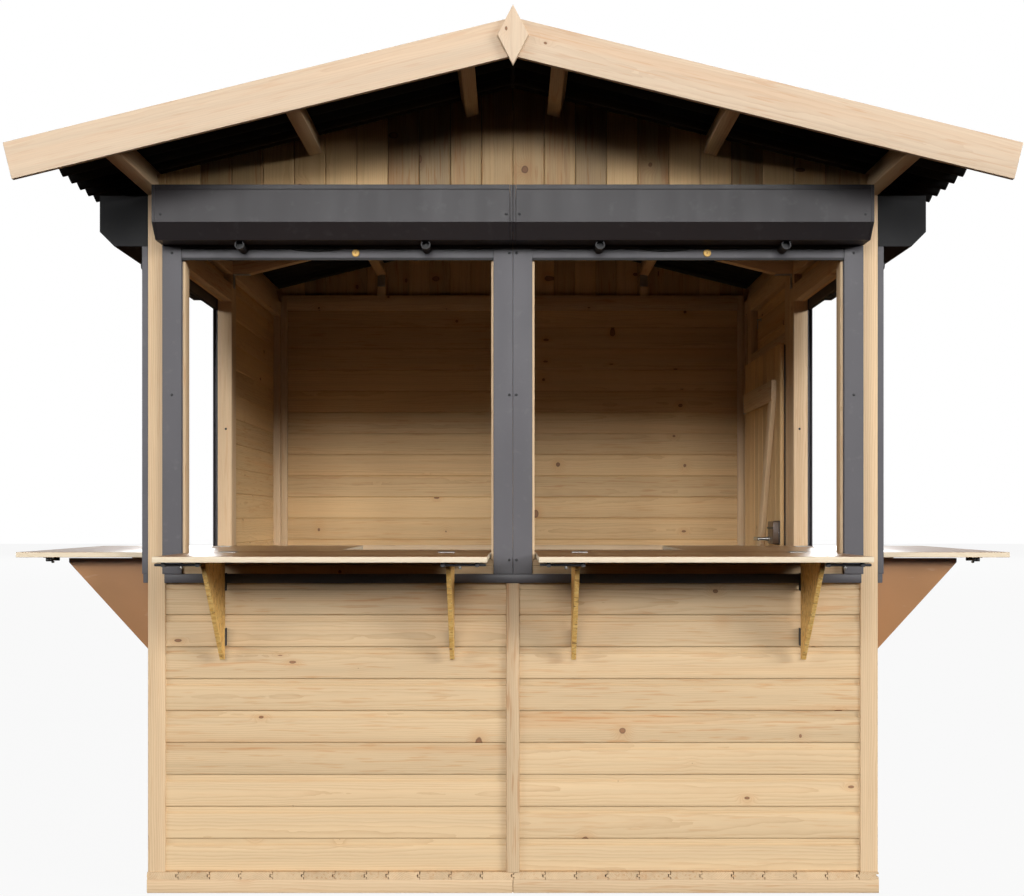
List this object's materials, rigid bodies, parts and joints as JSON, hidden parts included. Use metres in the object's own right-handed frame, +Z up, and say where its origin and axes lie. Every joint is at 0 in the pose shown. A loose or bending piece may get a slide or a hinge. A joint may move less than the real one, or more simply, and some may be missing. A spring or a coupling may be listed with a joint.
{
  "type": "wooden market stall",
  "caption": "Gabled timber market stall with wide serving openings, rolled-up shutters, fold-up counter flaps on swing brackets and a side door.",
  "frame": {"origin": "centre of the footprint, on the ground", "axes": "+Z up, the front with the two wide openings faces -Y, +X to the right when looking at the front"},
  "size_m": [3.46, 3.618, 2.8419],
  "materials": {
    "spruce_frame": "planed, unfinished",
    "spruce_boards": "planed, unfinished",
    "planed_trim": "planed, unfinished",
    "anthracite_metal": "satin powder coat",
    "roof_sheet": "matt bitumen sheet",
    "film_plywood": "brown phenolic film, satin",
    "osb_board": "pressed strands, raw",
    "lock_enamel": "brown enamel",
    "steel": "zinc plated"
  },
  "bodies": {
    "stall": {"base_end_beams": "spruce_frame", "base_side_beams": "spruce_frame", "floor_joists": "spruce_frame", "floor_boards": "spruce_boards", "front_posts": "spruce_frame", "front_rails": "spruce_frame", "front_wall_boards": "spruce_boards", "front_batten": "spruce_frame", "sill_trims": "anthracite_metal", "left_wall_posts": "spruce_frame", "left_wall_rails": "spruce_frame", "left_wall_boards": "spruce_boards", "right_wall_posts": "spruce_frame", "right_wall_rails": "spruce_frame", "right_wall_boards": "spruce_boards", "back_wall_posts": "spruce_frame", "back_wall_rails": "spruce_frame", "back_wall_boards": "spruce_boards", "front_gable": "spruce_boards", "back_gable": "spruce_boards", "gable_studs": "spruce_frame", "rafters": "spruce_frame", "ridge_purlins": "spruce_frame", "middle_purlins": "spruce_frame", "eave_purlins": "spruce_frame", "left_roof_sheet": "roof_sheet", "right_roof_sheet": "roof_sheet", "ridge_cap": "roof_sheet", "front_bargeboards": "planed_trim", "back_bargeboards": "planed_trim", "gable_diamonds": "planed_trim", "front_shutter_boxes": "anthracite_metal", "side_shutter_boxes": "anthracite_metal", "guide_rails": "anthracite_metal", "shutter_bottom_slats": "anthracite_metal", "front_worktop": "film_plywood", "side_worktops": "film_plywood", "worktop_bearers": "spruce_frame"},
    "door": {"door_boards": "spruce_boards", "door_ledges": "spruce_frame", "door_brace": "spruce_frame", "door_hinges": "steel", "door_lock": "lock_enamel"},
    "door_lever": {"door_lever": "steel"},
    "front_left_flap": {"front_left_flap": "film_plywood"},
    "front_right_flap": {"front_right_flap": "film_plywood"},
    "left_flap": {"left_flap": "film_plywood"},
    "right_flap": {"right_flap": "film_plywood"},
    "bracket_front_left_outer": {"bracket_front_left_outer": "osb_board"},
    "bracket_front_left_inner": {"bracket_front_left_inner": "osb_board"},
    "bracket_front_right_inner": {"bracket_front_right_inner": "osb_board"},
    "bracket_front_right_outer": {"bracket_front_right_outer": "osb_board"},
    "bracket_left_near": {"bracket_left_near": "film_plywood"},
    "bracket_left_far": {"bracket_left_far": "film_plywood"},
    "bracket_right_near": {"bracket_right_near": "film_plywood"},
    "bracket_right_far": {"bracket_right_far": "film_plywood"}
  },
  "joints": [
    {"name": "door_hinge", "type": "hinge", "parent": "stall", "child": "door", "pos_m": [1.162, 1.007, 1], "axis": [0, 0, -1], "range_deg": [0, 90]},
    {"name": "lever_turn", "type": "hinge", "parent": "door", "child": "door_lever", "pos_m": [1.131, 0.174, 1.19], "axis": [-1, 0, 0], "range_deg": [0, 45], "stiffness_Nm_per_rad": 0.8, "springref_deg": -34.38},
    {"name": "front_left_flap_hinge", "type": "hinge", "parent": "stall", "child": "front_left_flap", "pos_m": [-0.5975, -1.195, 1.165], "axis": [-1, 0, 0], "range_deg": [0, 90]},
    {"name": "front_right_flap_hinge", "type": "hinge", "parent": "stall", "child": "front_right_flap", "pos_m": [0.5975, -1.195, 1.165], "axis": [-1, 0, 0], "range_deg": [0, 90]},
    {"name": "left_flap_hinge", "type": "hinge", "parent": "stall", "child": "left_flap", "pos_m": [-1.195, -0.636, 1.165], "axis": [0, 1, 0], "range_deg": [0, 90]},
    {"name": "right_flap_hinge", "type": "hinge", "parent": "stall", "child": "right_flap", "pos_m": [1.195, -0.636, 1.165], "axis": [0, -1, 0], "range_deg": [0, 90]},
    {"name": "bracket_front_left_outer_hinge", "type": "hinge", "parent": "stall", "child": "bracket_front_left_outer", "pos_m": [-0.981, -1.272, 0.97], "axis": [0, 0, 1], "range_deg": [0, 90]},
    {"name": "bracket_front_left_inner_hinge", "type": "hinge", "parent": "stall", "child": "bracket_front_left_inner", "pos_m": [-0.214, -1.272, 0.97], "axis": [0, 0, -1], "range_deg": [0, 90]},
    {"name": "bracket_front_right_inner_hinge", "type": "hinge", "parent": "stall", "child": "bracket_front_right_inner", "pos_m": [0.214, -1.272, 0.97], "axis": [0, 0, 1], "range_deg": [0, 90]},
    {"name": "bracket_front_right_outer_hinge", "type": "hinge", "parent": "stall", "child": "bracket_front_right_outer", "pos_m": [0.981, -1.272, 0.97], "axis": [0, 0, -1], "range_deg": [0, 90]},
    {"name": "bracket_left_near_hinge", "type": "hinge", "parent": "stall", "child": "bracket_left_near", "pos_m": [-1.272, -1.036, 0.97], "axis": [0, 0, -1], "range_deg": [0, 90]},
    {"name": "bracket_left_far_hinge", "type": "hinge", "parent": "stall", "child": "bracket_left_far", "pos_m": [-1.272, -0.236, 0.97], "axis": [0, 0, 1], "range_deg": [0, 90]},
    {"name": "bracket_right_near_hinge", "type": "hinge", "parent": "stall", "child": "bracket_right_near", "pos_m": [1.272, -1.036, 0.97], "axis": [0, 0, 1], "range_deg": [0, 90]},
    {"name": "bracket_right_far_hinge", "type": "hinge", "parent": "stall", "child": "bracket_right_far", "pos_m": [1.272, -0.236, 0.97], "axis": [0, 0, -1], "range_deg": [0, 90]}
  ]
}
